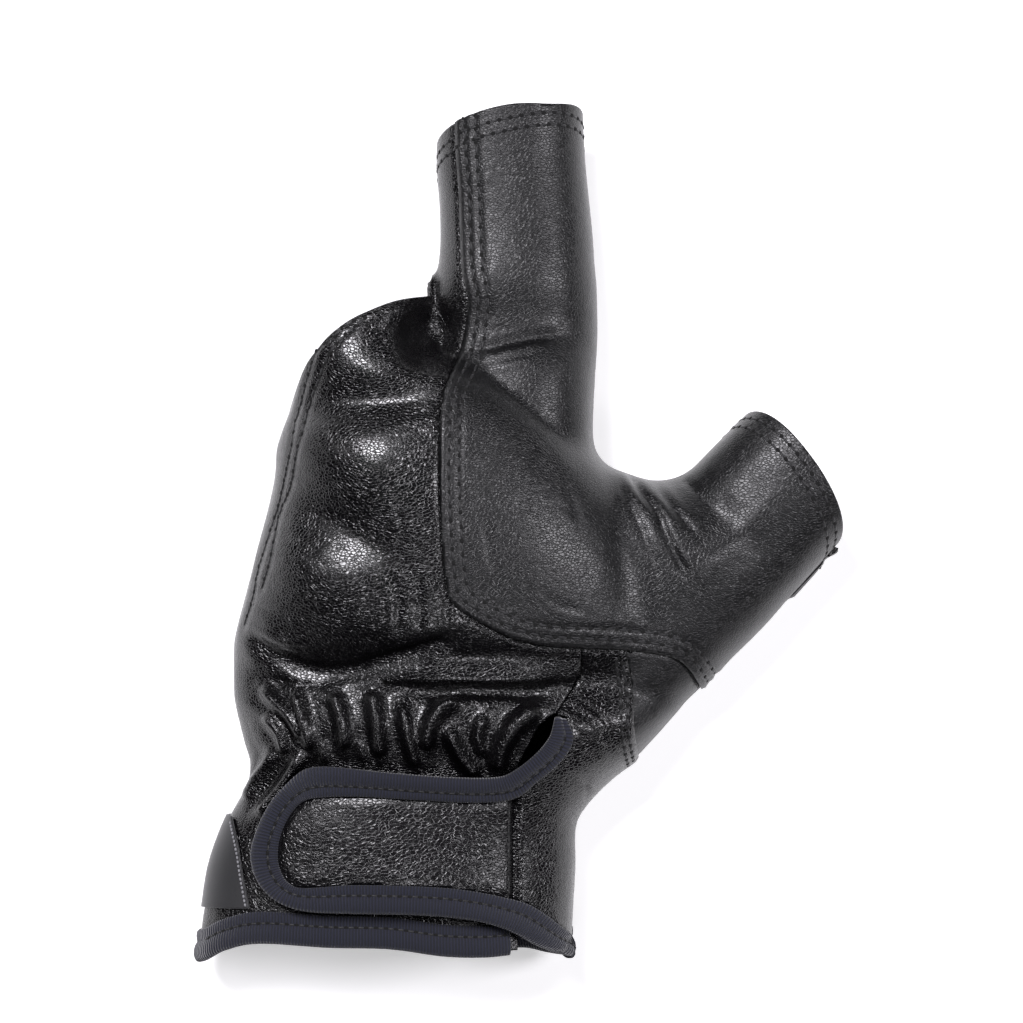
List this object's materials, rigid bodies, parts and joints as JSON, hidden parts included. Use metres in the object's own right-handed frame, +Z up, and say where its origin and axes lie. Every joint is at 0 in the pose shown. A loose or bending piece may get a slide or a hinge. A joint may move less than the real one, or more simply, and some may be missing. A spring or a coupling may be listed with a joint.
{
  "type": "archery glove",
  "caption": "Left bow-hand glove in black leather with an open thumb and first finger, one wide finger opening and a hook-and-loop wrist strap.",
  "frame": {"origin": "on the table under the middle of the palm, which lies flat on it", "axes": "+X towards the thumb side, +Y along the first finger towards its tip, +Z up through the back of the hand"},
  "size_m": [0.1291, 0.1721, 0.0381],
  "materials": {
    "back_leather": "black goat leather, pebbled and glossy",
    "grip_leather": "black leather with a finer, softer grain",
    "binding_tape": "dark navy ribbed knit tape",
    "fastener_pile": "black hook and loop pile",
    "label_satin": "black woven satin, blank"
  },
  "bodies": {
    "root": {"back_panel": "back_leather", "grip_panel": "grip_leather", "index_side_panel": "back_leather", "palm_panel": "grip_leather", "vent_panel": "back_leather", "heel_panel": "back_leather", "strap": "back_leather", "strap_binding": "binding_tape", "hem_binding": "binding_tape", "loop_pad": "fastener_pile", "hook_pad": "fastener_pile", "side_label": "label_satin"}
  },
  "joints": []
}
